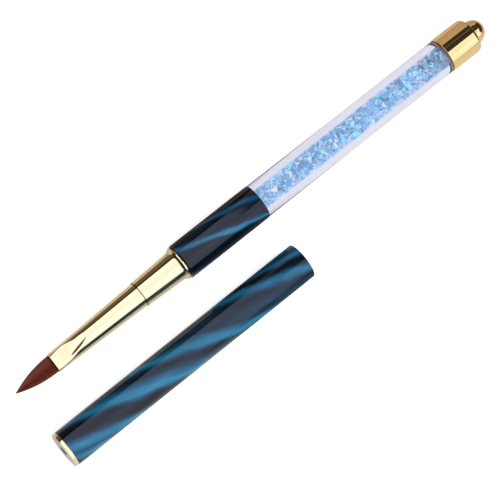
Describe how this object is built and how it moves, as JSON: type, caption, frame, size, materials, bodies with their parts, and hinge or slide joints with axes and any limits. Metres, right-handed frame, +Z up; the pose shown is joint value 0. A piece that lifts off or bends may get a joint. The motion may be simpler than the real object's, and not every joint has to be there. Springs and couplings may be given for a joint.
{
  "type": "acrylic nail brush",
  "caption": "Nail brush with a flat oval hair head in a crimped gold ferrule, a clear crystal-filled handle, a domed gold end and a round push-on cap lying beside it.",
  "frame": {"origin": "bottom centre of the box round the brush and its cap as they lie side by side, on the surface that they rest on", "axes": "+X along the brush from its hair tip to its domed end, +Y from the cap towards the brush, +Z up"},
  "size_m": [0.1756, 0.033, 0.0111],
  "materials": {
    "hair": "fine red-brown hair with a soft sheen",
    "thread": "wound binding thread",
    "glue": "set amber resin",
    "pale_gold": "polished pale gold plating",
    "rich_gold": "polished yellow gold plating",
    "cap_gold": "polished gold plating",
    "core_plastic": "moulded black plastic",
    "marbled_lacquer": "dark navy lacquer with soft teal and grey diagonal streaks",
    "clear_acrylic": "polished clear acrylic with a faint lavender tint",
    "crystals": "pale blue faceted crystals with cyan and yellow flashes",
    "stopper": "moulded translucent plastic",
    "seal": "thin dark brown ring",
    "satin_metal": "satin metal with fine turned lines",
    "liner_plastic": "moulded white plastic"
  },
  "bodies": {
    "brush": {"bristle_tuft": "hair", "tuft_binding": "thread", "glue_plug": "glue", "ferrule": "pale_gold", "ferrule_collar": "pale_gold", "handle_core": "core_plastic", "grip_sleeve": "marbled_lacquer", "barrel_tube": "clear_acrylic", "barrel_front_plug": "stopper", "crystal_fill": "crystals", "barrel_rear_plug": "stopper", "barrel_seal_ring": "seal", "end_cap": "rich_gold", "end_finial": "rich_gold"},
    "cap": {"cap_tube": "marbled_lacquer", "cap_liner": "liner_plastic", "cap_end_plug": "cap_gold", "cap_end_disc": "satin_metal"}
  },
  "joints": [
    {"name": "cap_carry", "type": "slide", "parent": "brush", "child": "cap", "axis": [-0.9861, 0.1661, 0], "range_m": [0, 0.13183]}
  ]
}
